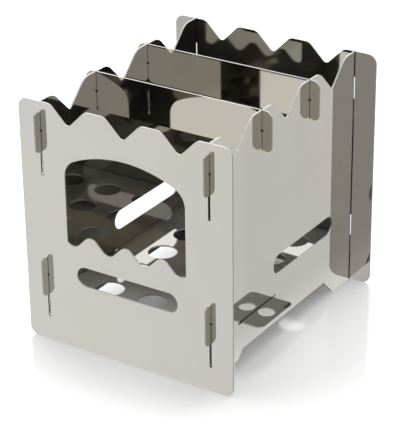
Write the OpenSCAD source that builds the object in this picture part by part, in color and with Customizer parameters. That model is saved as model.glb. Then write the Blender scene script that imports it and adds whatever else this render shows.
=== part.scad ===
// Flat-pack twig stove: seven flat steel sheets that hook into each other
// without fasteners. Two side sheets carry hooks that pass through slots in
// the front and back panels, a punched floor plate hangs on tabs between the
// sides, and two cross bars drop into slits in the side sheets by half laps.
// Front is -Y, up is +Z, millimetres. The ground is z = 0.

/* [Body] */
// Height from the ground to the top edges
height = 160; // [150:1:170]
// Width over the outer faces of the side sheets
body_w = 119.4; // [114:0.2:130]
// Depth over the outer faces of the front and back panels
body_d = 169.6; // [164:0.2:182]
// Thickness of every sheet
sheet = 1.0; // [0.8:0.1:1.4]
// Distance the panels stand out past the side sheets
panel_overhang = 15; // [12:0.5:18]
// Corner radius of the front and back panels
panel_corner_r = 6; // [3:0.5:8]
// Play of a sheet in its slot or slit, both faces together
slot_clear = 0.2; // [0.1:0.05:0.3]
// Gap between an edge and the face or slot end it stops at
edge_gap = 0.1; // [0.05:0.05:0.2]

/* [Top notches] */
// Slope of every notch flank and of the raised bottom edge, in degrees
flank_angle = 45; // [42:1:48]
// Depth of the notches in the front and back panels
panel_notch_depth = 11.4; // [9:0.2:13]
// Spacing of the notches in the front and back panels
panel_notch_pitch = 39; // [36:0.5:41]
// Radius at the bottom of a panel notch
panel_valley_r = 3; // [1:0.5:4]
// Radius where a panel notch meets the top edge
panel_shoulder_r = 6; // [3:0.5:8]
// Depth of the notches in the side sheets
side_notch_depth = 15; // [12:0.5:17]
// Spacing of the notches in the side sheets
side_notch_pitch = 55.5; // [53:0.5:58]
// Radius at the bottom of a side notch
side_valley_r = 2; // [1:0.5:4]
// Radius where a side notch meets the top edge
side_shoulder_r = 11; // [6:0.5:13]

/* [Hooks] */
// Distance from the top edge down to the crotch of an upper front hook
upper_hook_drop = 18.7; // [17:0.1:22]
// Height of the crotch of a lower front hook above the ground
lower_hook_z = 45.3; // [44:0.1:50]
// Distance a rear crotch lies below the matching front crotch
rear_hook_drop = 26.6; // [24:0.1:27.5]
// Height of the neck that passes through the panel
hook_neck = 13.2; // [11:0.2:14]
// Length of the prong past the crotch
hook_prong = 12.5; // [9:0.1:13.5]
// Distance a hook reaches out of the panel face
hook_reach = 5.2; // [4:0.1:7]
// Gap between a prong and the panel face behind it
prong_gap = 0.3; // [0.2:0.05:0.5]
// Radius of the two corners at the prong tip
prong_tip_r = 2.2; // [0.5:0.1:2.3]
// Radius of the outer corner where prong and neck meet
hook_elbow_r = 2.8; // [0.5:0.1:4]
// Slot length left over when a panel is lifted clear of its hooks
lift_spare = 2.6; // [1.5:0.1:4]
// Radius of the small round holes that end the front slots and the tab slits
slot_end_r = 1.0; // [0.9:0.05:1.3]
// Play of a side sheet in the slots of the back panel, both faces together
rear_slot_clear = 0.8; // [0.3:0.1:1.2]

/* [Fuel window] */
// Width of the window in the front panel
window_w = 85.5; // [80:0.5:90]
// Distance from the top edge down to the crown of the window
window_drop = 25.5; // [23:0.5:30]
// Radius of the window's arched top
arch_r = 84; // [70:1:120]
// Radius of the two upper window corners
window_corner_r = 12.5; // [8:0.5:16]
// Height of the lowest points of the window above the ground
window_sill_z = 70; // [67:0.5:75]
// Height of the waves along the lower window edge
wave_rise = 8.25; // [6:0.25:9]
// Spacing of the waves along the lower window edge
wave_pitch = 25.7; // [24.5:0.1:27]

/* [Air slots] */
// Height of every air slot
air_slot_h = 13; // [10:0.5:15]
// Height of the middle of every air slot above the ground
air_slot_z = 51.2; // [48:0.2:54]
// Length of the air slots in the front and back panels
panel_air_slot_len = 73; // [50:1:85]
// Length of the air slots in the side sheets
side_air_slot_len = 73; // [50:1:80]
// Distance from the middle of the stove back to the middle of a side air slot
side_air_slot_y = 22.5; // [10:0.5:25]

/* [Floor plate] */
// Height of the floor plate's lower face above the ground
floor_z = 30.5; // [26:0.5:34]
// Gap between the floor plate and the front and back panels
floor_end_gap = 0.5; // [0.3:0.1:2]
// Length of a floor tab along the side sheet
tab_len = 36.5; // [28:0.5:40]
// Distance from the middle of the stove forward to the middle of a tab
tab_y = 33.5; // [28:0.5:38]
// Radius of the tab corners
tab_corner_r = 3.5; // [1:0.5:6]
// Radius of the finger hole in a tab
tab_hole_r = 5.25; // [3:0.25:5.5]
// Play in front of a tab in its slit
tab_front_gap = 0.7; // [0.3:0.1:1.5]
// Play behind a tab in its slit
tab_rear_gap = 2.8; // [0.3:0.1:3.5]
// Radius of the air holes in the floor plate
hole_r = 9.6; // [6:0.2:11]
// Sideways spacing of the air holes
hole_pitch_x = 31.7; // [28:0.1:35]
// Front to back spacing of the air holes
hole_pitch_y = 29.5; // [26:0.5:31]

/* [Cross bars] */
// Height of a cross bar
bar_h = 25.6; // [22:0.2:32]
// Distance a cross bar reaches past the side sheet
bar_overhang = 6.6; // [5.5:0.1:9]
// Radius of the upper outer corners of a cross bar
bar_corner_r = 5; // [2:0.5:5.5]
// Radius of the lower corners of a cross bar between the side sheets
bar_inner_r = 4; // [1:0.5:6]

/* [Feet] */
// Height of the raised middle of the side sheets' lower edge
raised_edge_z = 12.2; // [9:0.2:14]
// Width of the raised part at the ground
raised_edge_len = 123.2; // [105:0.2:130]
// Height of the small step behind each front foot
foot_step_z = 6.4; // [2:0.2:8]
// Distance from the middle of the stove forward to the end of that step
foot_step_y = 58.8; // [57:0.2:62]

/* [Hidden] */
$fn = 96;
past = 1;                                   // cutters reach this far past an edge
panel_w = body_w + 2 * panel_overhang;
slot_w = sheet + slot_clear;
side_mid_x = (body_w - sheet) / 2;          // middle of a side sheet
inner_w = body_w - 2 * sheet;               // between the side sheets
inner_d = body_d - 2 * sheet;               // between the panels
upper_hook_z = height - upper_hook_drop;
hook_heights = [lower_hook_z, upper_hook_z]; // crotches of the front hooks
hook_slot_len = hook_neck + hook_prong + lift_spare + edge_gap;
side_len = inner_d - 2 * edge_gap;
bar_y = side_notch_pitch / 2;               // bars stand between the notches
bar_z = height - bar_h;
lap_z = height - bar_h / 2;                 // half laps meet here
bar_finger_w = bar_overhang - slot_clear / 2;
window_top_z = height - window_drop;
floor_w = inner_w - slot_clear;
floor_d = inner_d - 2 * floor_end_gap;
tab_hole_x = side_mid_x + (panel_w / 2 - side_mid_x) * 0.48;

// Outlines shared by several sheets.

// V-shaped cutter that hangs below y = 0: depth, slope, radius at the bottom,
// radius where it meets the edge, and the length of a level bottom.
module notch(depth, angle, valley_r, shoulder_r, flat = 0) {
    reach = flat / 2
        + ((shoulder_r + valley_r) * (1 - cos(angle)) + depth * cos(angle)) / sin(angle);
    low = [flat / 2 + valley_r * sin(angle), valley_r * (1 - cos(angle)) - depth];
    high = [reach - shoulder_r * sin(angle), shoulder_r * (cos(angle) - 1)];
    difference() {
        union() {
            polygon([
                [-reach, past], [-reach, 0], [-high[0], high[1]], [-low[0], low[1]],
                [low[0], low[1]], high, [reach, 0], [reach, past]
            ]);
            if (flat > 0)
                translate([-flat / 2, -depth])
                    square([flat, depth]);
            for (side = [-1, 1])
                translate([side * flat / 2, valley_r - depth])
                    circle(r = valley_r);
        }
        for (side = [-1, 1])
            translate([side * reach, -shoulder_r])
                circle(r = shoulder_r);
    }
}

// Slot with round ends, centred on the origin.
module round_slot(length, width) {
    square([length - width, width], center = true);
    for (side = [-1, 1])
        translate([side * (length - width) / 2, 0])
            circle(d = width);
}

// What a radius takes off a square corner at the origin; the sheet lies
// towards +x and +y from it.
module corner_cut(r) {
    difference() {
        translate([-past, -past])
            square(r + past);
        translate([r, r])
            circle(r = r);
    }
}

// Rectangle standing on y = 0 with its four corners rounded.
module rounded_sheet(width, tall, r) {
    difference() {
        translate([-width / 2, 0])
            square([width, tall]);
        for (side = [0, 1], top = [0, 1])
            mirror([side, 0])
                translate([-width / 2, top * tall])
                    mirror([0, top])
                        corner_cut(r);
    }
}

// Front and back panels.

// Outline common to both panels, seen from the front.
module panel_outline() {
    difference() {
        rounded_sheet(panel_w, height, panel_corner_r);
        for (i = [-1 : 1])
            translate([i * panel_notch_pitch, height])
                notch(panel_notch_depth, flank_angle, panel_valley_r, panel_shoulder_r);
        translate([0, air_slot_z])
            round_slot(panel_air_slot_len, air_slot_h);
    }
}

// Repeats a slot for each hook, with its start at the given heights.
module at_hooks(heights) {
    for (side = [-1, 1], z = heights)
        translate([side * side_mid_x, z])
            children();
}

// Slot that lets a hook through, from its crotch at the origin towards +y. It
// runs on so that the prong passes when the panel is lifted.
module hook_slot(width) {
    translate([-width / 2, 0])
        square([width, hook_slot_len]);
}

// Waves along the lower window edge: four valleys between tooth tips.
module window_waves() {
    wave_r = (wave_pitch / 2 * sin(flank_angle) - wave_rise * cos(flank_angle))
        / (1 - cos(flank_angle)) / 2;
    for (i = [-1.5 : 1 : 1.5])
        translate([i * wave_pitch, 0])
            notch(wave_rise, flank_angle, wave_r, wave_r);
}

// Window with an arched top, two rounded upper corners and a wavy sill.
module fuel_window() {
    arch_z = window_top_z - arch_r;
    wave_top_z = window_sill_z + wave_rise;
    corner_x = window_w / 2 - window_corner_r;
    corner_z = arch_z + sqrt(pow(arch_r - window_corner_r, 2) - pow(corner_x, 2));
    turn = [corner_x, corner_z - arch_z] * arch_r / (arch_r - window_corner_r);
    intersection() {
        translate([0, arch_z])
            circle(r = arch_r, $fn = 360);
        polygon([
            [-window_w / 2, wave_top_z], [window_w / 2, wave_top_z],
            [window_w / 2, corner_z], [corner_x, corner_z],
            [turn[0], turn[1] + arch_z], [turn[0], window_top_z + past],
            [-turn[0], window_top_z + past], [-turn[0], turn[1] + arch_z],
            [-corner_x, corner_z], [-window_w / 2, corner_z]
        ]);
    }
    for (side = [-1, 1])
        translate([side * corner_x, corner_z])
            circle(r = window_corner_r);
    intersection() {
        translate([0, wave_top_z])
            window_waves();
        translate([-window_w / 2, window_sill_z - past])
            square([window_w, wave_rise + 2 * past]);
    }
}

// Stands a panel outline up with its outer or front face at the given y.
module stand_panel(y) {
    translate([0, y + sheet, 0])
        rotate([90, 0, 0])
            linear_extrude(height = sheet)
                children();
}

module front_panel() {
    color([0.80, 0.80, 0.78])
        stand_panel(-body_d / 2)
            difference() {
                panel_outline();
                fuel_window();
                at_hooks([for (z = hook_heights) z + edge_gap])
                    mirror([0, 1]) {
                        hook_slot(slot_w);
                        translate([0, hook_slot_len])
                            circle(r = slot_end_r);
                    }
            }
}

module back_panel() {
    color([0.74, 0.74, 0.73])
        stand_panel(body_d / 2 - sheet)
            difference() {
                panel_outline();
                at_hooks([for (z = hook_heights) z - rear_hook_drop - edge_gap])
                    hook_slot(sheet + rear_slot_clear);
            }
}

// Side sheets.

// Hook seen from the side with its crotch at the origin. The panel fills the
// strip up to x = sheet, the prong stands beyond it and points up.
module hook() {
    outer_x = sheet + hook_reach;
    prong_x = sheet + prong_gap;
    difference() {
        translate([-past, -hook_neck])
            square([outer_x + past, hook_neck]);
        translate([outer_x, -hook_neck])
            rotate(90)
                corner_cut(hook_elbow_r);
    }
    difference() {
        translate([prong_x, -hook_neck])
            square([outer_x - prong_x, hook_neck + hook_prong]);
        translate([outer_x, hook_prong])
            rotate(180)
                corner_cut(prong_tip_r);
        translate([prong_x, hook_prong])
            rotate(-90)
                corner_cut(prong_tip_r);
        translate([outer_x, -hook_neck])
            rotate(90)
                corner_cut(hook_elbow_r);
    }
}

// Side sheet outline, front to the left: three notches and two bar slits on
// the top edge, hooks that point up in front and down at the rear.
module side_outline() {
    difference() {
        translate([-side_len / 2, 0])
            square([side_len, height]);
        for (i = [-1 : 1])
            translate([i * side_notch_pitch, height])
                notch(side_notch_depth, flank_angle, side_valley_r, side_shoulder_r);
        for (side = [-1, 1])
            translate([side * bar_y - slot_w / 2, lap_z - edge_gap])
                square([slot_w, height - lap_z + edge_gap + past]);
        translate([side_air_slot_y, air_slot_z])
            round_slot(side_air_slot_len, air_slot_h);
        translate([-tab_y - tab_len / 2 - tab_front_gap, floor_z + sheet / 2])
            tab_slit();
        raised_edge();
    }
    for (z = hook_heights) {
        translate([-inner_d / 2, z])
            mirror([1, 0])
                hook();
        translate([inner_d / 2, z - rear_hook_drop])
            mirror([0, 1])
                hook();
    }
}

// Slit for a floor tab, with a small round hole at each end.
module tab_slit() {
    slit_len = tab_len + tab_front_gap + tab_rear_gap;
    translate([0, -slot_w / 2])
        square([slit_len, slot_w]);
    for (x = [0, slit_len])
        translate([x, 0])
            circle(r = slot_end_r);
}

// Cut-out that leaves a foot at each end of a side sheet. The rear foot ends in
// a slope, the front foot in a small square step.
module raised_edge() {
    foot_r = 3;
    slope = raised_edge_z / tan(flank_angle);
    rounding = 2 * foot_r * (1 / sin(flank_angle) - 1 / tan(flank_angle));
    difference() {
        mirror([0, 1])
            notch(
                raised_edge_z, flank_angle, foot_r, foot_r,
                raised_edge_len - 2 * slope - rounding
            );
        translate([-side_len / 2, -2 * past])
            square([side_len / 2 - foot_step_y, height]);
    }
    translate([-foot_step_y, -past])
        square([foot_step_y / 4, foot_step_z + past]);
}

module stand_side(x) {
    translate([x - sheet / 2, 0, 0])
        rotate([90, 0, 90])
            linear_extrude(height = sheet)
                side_outline();
}

module left_side() {
    color([0.70, 0.70, 0.69])
        stand_side(-side_mid_x);
}

module right_side() {
    color([0.70, 0.70, 0.69])
        stand_side(side_mid_x);
}

// Floor plate.

module floor_outline() {
    difference() {
        union() {
            square([floor_w, floor_d], center = true);
            translate([0, -tab_y - tab_len / 2])
                rounded_sheet(panel_w, tab_len, tab_corner_r);
        }
        for (i = [-1 : 1], j = [-2 : 2])
            translate([i * hole_pitch_x, j * hole_pitch_y])
                circle(r = hole_r);
        for (side = [-1, 1])
            translate([side * tab_hole_x, -tab_y])
                circle(r = tab_hole_r);
    }
}

module floor_plate() {
    color([0.62, 0.61, 0.59])
        translate([0, 0, floor_z])
            linear_extrude(height = sheet)
                floor_outline();
}

// Cross bars.

// Bar outline: the slits slip over the side sheets down to the half laps and
// leave a finger with a round end outside each of them.
module bar_outline() {
    bar_len = body_w + 2 * bar_overhang;
    finger_x = bar_len / 2 - bar_finger_w / 2;
    inner_x = side_mid_x - slot_w / 2;
    difference() {
        translate([-bar_len / 2, 0])
            square([bar_len, bar_h]);
        for (side = [0, 1])
            mirror([side, 0]) {
                translate([-bar_len / 2, bar_h])
                    mirror([0, 1])
                        corner_cut(bar_corner_r);
                translate([-side_mid_x - slot_w / 2, -past])
                    square([slot_w, bar_h / 2 + edge_gap + past]);
                translate([-inner_x, 0])
                    corner_cut(bar_inner_r);
                difference() {
                    translate([-bar_len / 2 - past, -past])
                        square([bar_finger_w + 2 * past, bar_finger_w / 2 + past]);
                    translate([-finger_x, bar_finger_w / 2])
                        circle(d = bar_finger_w);
                    translate([-inner_x, -2 * past])
                        square([past, bar_h]);
                }
            }
    }
}

module stand_bar(y) {
    translate([0, y + sheet / 2, bar_z])
        rotate([90, 0, 0])
            linear_extrude(height = sheet)
                bar_outline();
}

module front_cross_bar() {
    color([0.76, 0.75, 0.72])
        stand_bar(-bar_y);
}

module rear_cross_bar() {
    color([0.76, 0.75, 0.72])
        stand_bar(bar_y);
}

front_panel();
back_panel();
left_side();
right_side();
floor_plate();
front_cross_bar();
rear_cross_bar();
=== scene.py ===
import math
import bpy
from mathutils import Euler, Matrix, Vector

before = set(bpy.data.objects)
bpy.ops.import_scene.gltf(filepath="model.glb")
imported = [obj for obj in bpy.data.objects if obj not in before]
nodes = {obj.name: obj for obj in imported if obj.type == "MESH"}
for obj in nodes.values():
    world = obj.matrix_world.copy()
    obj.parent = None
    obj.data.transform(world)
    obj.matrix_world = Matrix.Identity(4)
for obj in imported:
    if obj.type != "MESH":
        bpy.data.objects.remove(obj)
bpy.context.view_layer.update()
print("stage: the flat-pack stove is loaded,", len(nodes), "sheets")


# Where a sheet begins and ends along an axis, in metres, read from its own mesh
def ends(name, axis):
    reach = [getattr(vertex.co, axis) for vertex in nodes[name].data.vertices]
    return min(reach), max(reach)


def middle(name, axis):
    return sum(ends(name, axis)) / 2


# Sums on sockets are written as plain Python, each one adds its Math node.
class Wire:
    def __init__(self, desk, socket):
        self.desk, self.socket = desk, socket

    def calc(self, operation, *values):
        return self.desk.add("ShaderNodeMath", {"operation": operation}, dict(enumerate(values)))

    def most(self, other):
        return self.calc("MAXIMUM", self, other)

    def __add__(self, other):
        return self.calc("ADD", self, other)

    def __radd__(self, other):
        return self.calc("ADD", other, self)

    def __sub__(self, other):
        return self.calc("SUBTRACT", self, other)

    def __rsub__(self, other):
        return self.calc("SUBTRACT", other, self)

    def __mul__(self, other):
        return self.calc("MULTIPLY", self, other)

    def __rmul__(self, other):
        return self.calc("MULTIPLY", other, self)

    def __pow__(self, other):
        return self.calc("POWER", self, other)

    def __rpow__(self, other):
        return self.calc("POWER", other, self)

    def __lt__(self, other):
        return self.calc("LESS_THAN", self, other)

    def __gt__(self, other):
        return self.calc("GREATER_THAN", self, other)

    def size(self):
        return self.calc("ABSOLUTE", self)

    def other(self, output):                # another output of the same node, by its name
        return Wire(self.desk, self.socket.node.outputs[output])


# One node tree, of a material or of the world.
class Desk:
    def __init__(self, tree):
        self.tree = tree
        tree.nodes.clear()

    def add(self, kind, settings=None, values=None, out=0):
        node = self.tree.nodes.new(kind)
        for name, value in (settings or {}).items():
            setattr(node, name, value)
        for name, value in (values or {}).items():
            if isinstance(value, Wire):
                self.tree.links.new(value.socket, node.inputs[name])
            else:
                node.inputs[name].default_value = value
        return Wire(self, node.outputs[out]) if len(node.outputs) else node

    def noise(self, place, values):
        return self.add("ShaderNodeTexNoise", {}, {"Vector": place, **values})

    def mixColour(self, amount, first, second):
        values = {0: amount, 6: first, 7: second}       # a Mix node's sockets for colours
        return self.add("ShaderNodeMix", {"data_type": "RGBA"}, values, 2)

    def fit(self, value, low, high, newLow=0.0, newHigh=1.0):       # low becomes newLow, and so on
        values = {0: value, 1: low, 2: high, 3: newLow, 4: newHigh}
        return self.add("ShaderNodeMapRange", {"clamp": True}, values)


# Camera: the photograph's viewing angle
camera = {
    "yaw": 33.243,
    "down": 25.784,
    "roll": -0.703,
    "lookAt": (0.0, 0.0, 0.08),
    "sideways": -0.00204,
    "upwards": -0.01169,
    "distance": 1.1386,
    "focalPixels": 1822.4,
    "picturePixels": 427,
    "sensor": 36.0,
    "clip": (0.05, 60),
}


def placeCamera(look):
    turn = Euler((math.radians(90 - look["down"]), 0, math.radians(look["yaw"]))).to_matrix()
    turn = turn @ Matrix.Rotation(math.radians(look["roll"]), 3, "Z")
    shift = Vector((look["sideways"], look["upwards"], look["distance"]))
    data = bpy.data.cameras.new("studioCamera")
    data.lens = look["focalPixels"] * look["sensor"] / look["picturePixels"]
    data.sensor_width = look["sensor"]
    data.clip_start, data.clip_end = look["clip"]
    holder = bpy.data.objects.new("studioCamera", data)
    holder.location = Vector(look["lookAt"]) + turn @ shift
    holder.rotation_euler = turn.to_euler()
    bpy.context.scene.collection.objects.link(holder)
    bpy.context.scene.camera = holder


placeCamera(camera)
print("stage: camera placed")

# Studio: glossy white table, soft box overhead, room palest behind on the left; a painted shadow dims the
# table's glow under the stove and left of it
studio = {
    "tableSize": 14.0,
    "tableColour": (0.80, 0.80, 0.80, 1),
    "tableGlow": (0.48, 1.0),
    "tableGlowAt": (0.4, 1.3),
    "mirroredFront": 1.00,
    "mirroredRight": 0.80,
    "mirroredFrom": (0.065, 0.085),
    "tableGloss": 0.28,
    "tableRoughness": 0.10,
    "tableGlossEnd": (0.104, 0.152),
    "rightGloss": 0.55,
    "rightGlossFrom": (0.056, 0.072),
    # painted shadow on the table: the glow level beneath the stove, and the depth of the painted shade
    # beside its left side
    "paintedShadeUnderStove": 0.27,
    "paintedShadeUnderStoveBlur": (-0.013, 0.003),
    "leftShade": 0.75,
    "leftShadeOuter": (-0.095, -0.060),
    "leftShadeInner": (-0.058, -0.050),
    "leftShadeEnds": (0.055, 0.080),
    "wallHorizon": 1.0,
    "wallBehindLeft": 1.2,
    "wallBehindRight": 0.5,
    "wallFront": 0.2,
    "wallSlant": 0.6,
    "wallRightFrom": (-0.5, 0.46),
    "wallLeftFrom": (0.5, 1.02),
    "wallTop": (0.62, 0.80),
    "wallFoot": (0.05, 0.24),
    "ceiling": 0.3,
    "boxSize": 1.5,
    "boxPlace": (-0.3, 0.1, 1.35),
    "boxAimedAt": (0.0, 0.0, 0.08),
    "boxPower": 17.0,
}


def makeWorld(look):
    world = bpy.context.scene.world or bpy.data.worlds.new("studioRoom")
    bpy.context.scene.world = world
    world.use_nodes = True
    desk = Desk(world.node_tree)
    towards = desk.add("ShaderNodeTexCoord", out="Generated")       # the way that a ray leaves
    east = desk.add("ShaderNodeSeparateXYZ", {}, {0: towards})
    north, height = east.other("Y"), east.other("Z")
    around = north - look["wallSlant"] * east       # largest behind the stove on the left
    leftExtra = look["wallBehindLeft"] - look["wallBehindRight"]
    right = desk.fit(around, *look["wallRightFrom"], look["wallFront"], look["wallBehindRight"])
    left = desk.fit(around, *look["wallLeftFrom"], 0.0, leftExtra)
    upper = desk.fit(height, *look["wallTop"])
    lower = desk.fit(height, *look["wallFoot"], 1.0, 0.0)
    wall = (right + left) * (1 - upper) + look["ceiling"] * upper
    room = wall * (1 - lower) + look["wallHorizon"] * lower
    seen = desk.add("ShaderNodeLightPath", out="Is Camera Ray")
    strength = room * (1 - seen) + seen
    light = desk.add("ShaderNodeBackground", {}, {"Color": (1, 1, 1, 1), "Strength": strength})
    desk.add("ShaderNodeOutputWorld", {}, {"Surface": light})


def makeTable(look):
    bpy.ops.object.select_all(action="DESELECT")
    bpy.ops.mesh.primitive_plane_add(size=look["tableSize"], location=(0, 0, 0))
    table = bpy.context.object
    table.name = "studioTable"
    surface = bpy.data.materials.new("glossyTable")
    surface.use_nodes = True
    desk = Desk(surface.node_tree)
    x = desk.add("ShaderNodeSeparateXYZ", {}, {0: desk.add("ShaderNodeTexCoord", out="Object")})
    y = x.other("Y")
    halfWidth, halfDepth = ends("right_side", "x")[1], ends("back_panel", "y")[1]
    besides = (x.size() - halfWidth).most(y.size() - halfDepth)     # above 0 outside the walls
    around = (x * x + y * y) ** 0.5
    sheen = desk.fit(around, *look["tableGlossEnd"], look["tableGloss"], 0.0)
    sheen = sheen * desk.fit(x, *look["rightGlossFrom"], 1.0, look["rightGloss"])
    # painted shadow: the table's glow for camera rays is dimmed beneath the stove and beside its left
    # side
    lit = desk.fit(besides, *look["paintedShadeUnderStoveBlur"], look["paintedShadeUnderStove"], 1.0)
    leftShadowMask = desk.fit(x, *look["leftShadeOuter"]) * desk.fit(x, *look["leftShadeInner"], 1.0, 0.0)
    leftShadowMask = leftShadowMask * desk.fit(y.size(), *look["leftShadeEnds"], 1.0, 0.0)
    lit = lit * (1 - leftShadowMask * look["leftShade"])
    seen = desk.add("ShaderNodeLightPath", out="Is Camera Ray")
    matt = desk.add("ShaderNodeBsdfDiffuse", {}, {"Color": look["tableColour"]})
    gloss = desk.add("ShaderNodeBsdfGlossy", {}, {
        "Color": (1, 1, 1, 1), "Roughness": look["tableRoughness"],
    })
    glow = desk.fit(around, *look["tableGlowAt"], *look["tableGlow"])
    glow = desk.add("ShaderNodeEmission", {}, {"Strength": seen * lit * glow})
    pale = desk.add("ShaderNodeAddShader", {}, {0: matt, 1: glow})
    total = desk.add("ShaderNodeMixShader", {}, {0: sheen, 1: pale, 2: gloss})
    white = desk.fit(x, *look["mirroredFrom"], look["mirroredFront"], look["mirroredRight"])
    mirrored = desk.add("ShaderNodeEmission", {}, {"Strength": white})
    inMetal = seen.other("Is Glossy Ray") * (besides > 0.0)         # what the steel mirrors
    total = desk.add("ShaderNodeMixShader", {}, {0: inMetal, 1: total, 2: mirrored})
    desk.add("ShaderNodeOutputMaterial", {}, {"Surface": total})
    table.data.materials.append(surface)


def makeSoftBox(look):
    data = bpy.data.lights.new("softBox", "AREA")
    data.shape = "SQUARE"
    data.size = look["boxSize"]
    data.energy = look["boxPower"]
    lamp = bpy.data.objects.new("softBox", data)
    lamp.location = look["boxPlace"]
    toStove = Vector(look["boxAimedAt"]) - lamp.location
    lamp.rotation_euler = toStove.to_track_quat("-Z", "Y").to_euler()
    lamp.visible_glossy = False             # the plate's top mirrors the ceiling instead
    bpy.context.scene.collection.objects.link(lamp)


makeWorld(studio)
makeTable(studio)
makeSoftBox(studio)
print("stage: table, room and soft box")

# Finish: mirror-polished stainless sheet; inner faces, bars, hooks and ears are painted darker as painted
# shade for the dimmer reflections there, and the plate's top is painted lighter
steelSheet = {
    "outsideWarm": (0.607, 0.583, 0.528, 1),
    "outsideCool": (0.593, 0.582, 0.552, 1),
    # painted shade: darker tones for the inner faces, the back panel's inside, bars, the back panel's
    # ears and the tips of hooks and fingers; the plate's tone is painted lighter
    "insideWarm": (0.445, 0.420, 0.374, 1),
    "insideCool": (0.425, 0.414, 0.384, 1),
    "backWarm": (0.525, 0.496, 0.441, 1),
    "backCool": (0.502, 0.489, 0.453, 1),
    "barWarm": (0.534, 0.499, 0.422, 1),
    "barCool": (0.528, 0.502, 0.446, 1),
    "earWarm": (0.437, 0.409, 0.378, 1),
    "earCool": (0.430, 0.407, 0.388, 1),
    "tipWarm": (0.440, 0.400, 0.335, 1),
    "tipCool": (0.430, 0.396, 0.345, 1),
    "plateWarm": (0.680, 0.650, 0.605, 1),
    "plateCool": (0.665, 0.648, 0.622, 1),
    "cutEdge": (0.36, 0.34, 0.31, 1),
    # painted highlight: the colour of cut edges that face upwards
    "paintedEdgeHighlight": (0.88, 0.87, 0.84, 1),
    "paintedEdgeHighlightFrom": (0.3, 0.6),
    # painted shade: the colour of the dark lines where the gaps between sheets look dark
    "seam": (0.050, 0.045, 0.040, 1),
    "faceRoughness": (0.025, 0.06),
    "edgeRoughness": 0.30,
    "haze": (0.020, 0.060),
    "barHaze": (0.004, 0.016),
    "edgeHaze": 0.55,
    "plateDull": (0.56, 0.12),
    "plateDullFrom": (-0.066, -0.042),
    "tintNoise": {"Scale": 11.0, "Detail": 2.0},
    "smudgeNoise": {"Scale": 46.0, "Detail": 6.0},
    "rolledNoise": {"Scale": 1.0, "Detail": 3.0},
    "dentNoise": {"Scale": 9.0, "Detail": 0.0},
    "noiseSpan": (0.35, 0.65),
    "roughSpan": (0.40, 0.75),
    "clouding": 0.018,
    "waviness": 0.00006,
    "rolledShare": 0.01,
}


# A sheet's thickness lies along the axis across, and grain draws its rolled noise out. The masks
# inside and tips say where the steel carries a painted shade tone (a painted lighter tone on the plate),
# and seam where painted shade lines fall at the joints.
def polishedSheet(name, across, grain, inside, tips, paintedFade, seam, look):
    steel = bpy.data.materials.new(name)
    steel.use_nodes = True
    desk = Desk(steel.node_tree)
    normal = desk.add("ShaderNodeTexCoord", out="Normal")
    place = normal.other("Object")
    normal = desk.add("ShaderNodeSeparateXYZ", {}, {0: normal})
    facing, upwards = normal.other(across), normal.other("Z")
    x = desk.add("ShaderNodeSeparateXYZ", {}, {0: place})
    y, z = x.other("Y"), x.other("Z")
    isEdge = 1 - (facing.size() > 0.5)      # a cut edge's normal lies in the sheet's plane
    cloud = desk.noise(place, look["tintNoise"])
    smudge = desk.noise(place, look["smudgeNoise"])
    streaks = desk.add("ShaderNodeMapping", {}, {"Vector": place, "Scale": grain})
    rolled = desk.noise(streaks, look["rolledNoise"])
    dent = desk.noise(place, look["dentNoise"])
    tint = desk.fit(cloud, *look["noiseSpan"])
    kinds = {"backSteel": "back", "barSteel": "bar", "plateSteel": "plate"}
    kind = kinds.get(name, "inside")
    # painted highlight: cut edges that face upwards, and every edge of the plate, are painted bright; the
    # other cut edges keep the dark cut tone
    paintedHighlight = 1.0 if kind == "plate" else desk.fit(upwards, *look["paintedEdgeHighlightFrom"])
    cut = desk.mixColour(paintedHighlight, look["cutEdge"], look["paintedEdgeHighlight"])
    outer = desk.mixColour(tint, look["outsideWarm"], look["outsideCool"])
    # painted shade: inner faces take a darker tone, the plate's top a painted lighter one
    inner = desk.mixColour(tint, look[kind + "Warm"], look[kind + "Cool"])
    # painted light and shade: the outer tone is scaled along the sheet by its fade, and varied at random
    # by the smudge clouding
    paintedLevel = desk.fit(y if across == "X" else x, *paintedFade)
    paintedLevel = paintedLevel * desk.fit(smudge, *look["noiseSpan"], 1 - look["clouding"], 1 + look["clouding"])
    outer = desk.add("ShaderNodeVectorMath", {"operation": "SCALE"}, {0: outer, 3: paintedLevel})
    # painted shade: hooks, bar fingers and the back panel's ears take a darker tone
    end = "ear" if name == "backSteel" else "tip"
    tip = desk.mixColour(tint, look[end + "Warm"], look[end + "Cool"])
    outer = desk.mixColour(tips(facing, x, y), outer, tip)
    face = desk.mixColour(inside(facing, x, y), outer, inner)
    sheet = desk.mixColour(isEdge, face, cut)
    # painted shade: dark lines along the joints, with small dark spots at slot ends and the half lap
    colour = desk.mixColour(seam(x, y, z), sheet, look["seam"])
    rough = desk.fit(smudge, *look["roughSpan"], *look["faceRoughness"])
    rough = rough + isEdge * look["edgeRoughness"]
    haze = look["barHaze" if name == "barSteel" else "haze"]
    dull = desk.fit(smudge, *look["noiseSpan"], *haze) + isEdge * look["edgeHaze"]
    if name == "plateSteel":
        satin = desk.fit(y, *look["plateDullFrom"], *look["plateDull"])
        dull = dull + betweenSides(facing, x, y) * satin
    relief = dent + rolled * look["rolledShare"]
    bump = desk.add("ShaderNodeBump", {}, {
        "Strength": 1.0, "Distance": look["waviness"], "Height": relief,
    })
    shine = desk.add("ShaderNodeBsdfPrincipled", {}, {
        "Base Color": colour, "Metallic": 1 - dull, "Roughness": rough, "Normal": bump,
    })
    desk.add("ShaderNodeOutputMaterial", {}, {"Surface": shine})
    return steel


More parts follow.
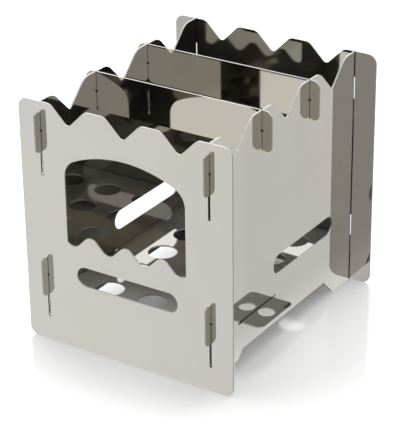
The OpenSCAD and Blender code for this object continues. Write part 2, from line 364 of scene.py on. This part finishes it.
# Painted shade lines at the joints, where the gaps between sheets look dark, in metres: their places,
# from the sheets where possible, and widths
joints = {
    "sideX": middle("right_side", "x"),
    "barY": middle("rear_cross_bar", "y"),
    "barBottom": ends("rear_cross_bar", "z")[0],
    "halfLap": middle("rear_cross_bar", "z"),
    "panelInside": ends("back_panel", "y")[0],
    "panelMiddle": middle("back_panel", "y"),
    "panelOutside": ends("back_panel", "y")[1],
    "plateZ": middle("floor_plate", "z"),
    "tabY": -0.0335,
    "tabHalf": 0.0183,
    "tabSlitHalf": 0.0212,
    "frontSlots": ((0.0178, 0.0454), (0.1138, 0.1414)),
    "backGaps": (0.0394, 0.1354),
    "backGapHalf": 0.0076,
    "backLineShift": 0.0004,
    "endLineShift": 0.0001,
    "knotReach": 0.0007,
    "lapKnotWidth": 0.0015,
    "slotKnotWidth": 0.0013,
    "thinLine": 0.0006,
    "lapLine": 0.0007,
    "slitLine": 0.0008,
    "tabLine": 0.0010,
    "upperLapFade": 0.45,                   # a share, not metres
}


def near(value, centre, reach):
    return (value - centre).size() < reach


def frontInside(facing, x, y):
    return facing > 0.5


def backInside(facing, x, y):
    return (facing < -0.5) * (x.size() < joints["sideX"])


def sideInside(facing, x, y):
    return facing * x < 0.0


def betweenSides(facing, x, y):
    return x.size() < joints["sideX"]


def nowhere(facing, x, y):
    return 0.0


def hooks(facing, x, y):
    return y.size() > joints["panelOutside"]


def fingers(facing, x, y):
    return x.size() > joints["sideX"]


def backEars(facing, x, y):
    return (facing < -0.5) * (x.size() > joints["sideX"])


def slotSeam(spans):
    def seam(x, y, z):
        inSlot, crotch = 0, 0
        for low, high in spans:
            inSlot = near(z, (low + high) / 2, (high - low) / 2) + inSlot
            crotch = near(z, high, joints["knotReach"]) + crotch
        line = near(x.size(), joints["sideX"], joints["slitLine"]) * inSlot
        return line.most(near(x.size(), joints["sideX"], joints["slotKnotWidth"]) * crotch)
    return seam


def backSeam(x, y, z):
    line = near(x.size(), joints["sideX"] + joints["backLineShift"], joints["thinLine"])
    low, high = joints["backGaps"]
    gaps = near(z, low, joints["backGapHalf"]).most(near(z, high, joints["backGapHalf"]))
    return line * (y < joints["panelMiddle"]) * (1 - gaps)


def sideSeam(x, y, z):
    atPanels = near(y.size(), joints["panelInside"] + joints["endLineShift"], joints["thinLine"])
    slit = near(y.size(), joints["barY"], joints["slitLine"]) * (z > joints["barBottom"])
    tab = near(z, joints["plateZ"], joints["slitLine"]) * near(y, joints["tabY"], joints["tabSlitHalf"])
    return atPanels.most(slit).most(tab)


def tabSeam(x, y, z):
    return near(x.size(), joints["sideX"], joints["tabLine"]) * near(y, joints["tabY"], joints["tabHalf"])


def lapSeam(x, y, z):
    knot = near(z, joints["halfLap"], joints["knotReach"])
    knot = knot * near(x.size(), joints["sideX"], joints["lapKnotWidth"])
    line = near(x.size(), joints["sideX"], joints["lapLine"])
    return (line * (1 - joints["upperLapFade"] * (z > joints["halfLap"]))).most(knot)


# Noise scales that draw the rolled grain out sideways, upwards or from front to back
sidewaysGrain = (40, 40, 900)
uprightGrain = (40, 900, 40)
frontToBackGrain = (900, 40, 40)
# Painted light and shade along a sheet, fades of the outer tone: from, to, tone at the first, tone at the
# second
frontPaintedFade = (-0.075, 0.075, 1.02, 0.965)
sidePaintedFade = (-0.082, -0.045, 1.12, 1.0)
# painted shade: one darker tone on both of the plate's tabs
tabPaintedShade = (0.0, 1.0, 0.69, 0.69)            # one darker tone on both of the plate's tabs
even = (0.0, 1.0, 1.0, 1.0)
frontSeam = slotSeam(joints["frontSlots"])
frontSteel = polishedSheet("frontSteel", "Y", sidewaysGrain, frontInside, nowhere,
                           frontPaintedFade, frontSeam, steelSheet)
backSteel = polishedSheet("backSteel", "Y", sidewaysGrain, backInside, backEars,
                          even, backSeam, steelSheet)
sideSteel = polishedSheet("sideSteel", "X", uprightGrain, sideInside, hooks,
                          sidePaintedFade, sideSeam, steelSheet)
plateSteel = polishedSheet("plateSteel", "Z", frontToBackGrain, betweenSides, nowhere,
                           tabPaintedShade, tabSeam, steelSheet)
barSteel = polishedSheet("barSteel", "Y", sidewaysGrain, betweenSides, fingers,
                         even, lapSeam, steelSheet)
wearing = {
    "front_panel": frontSteel,
    "back_panel": backSteel,
    "left_side": sideSteel,
    "right_side": sideSteel,
    "floor_plate": plateSteel,
    "front_cross_bar": barSteel,
    "rear_cross_bar": barSteel,
}
for name, steel in wearing.items():
    sheet = nodes[name].data
    if len(sheet.materials) == 0:
        sheet.materials.append(steel)
    for index in range(len(sheet.materials)):
        sheet.materials[index] = steel
print("stage: steel on", len(wearing), "sheets")

bpy.context.scene.view_settings.view_transform = "Standard"
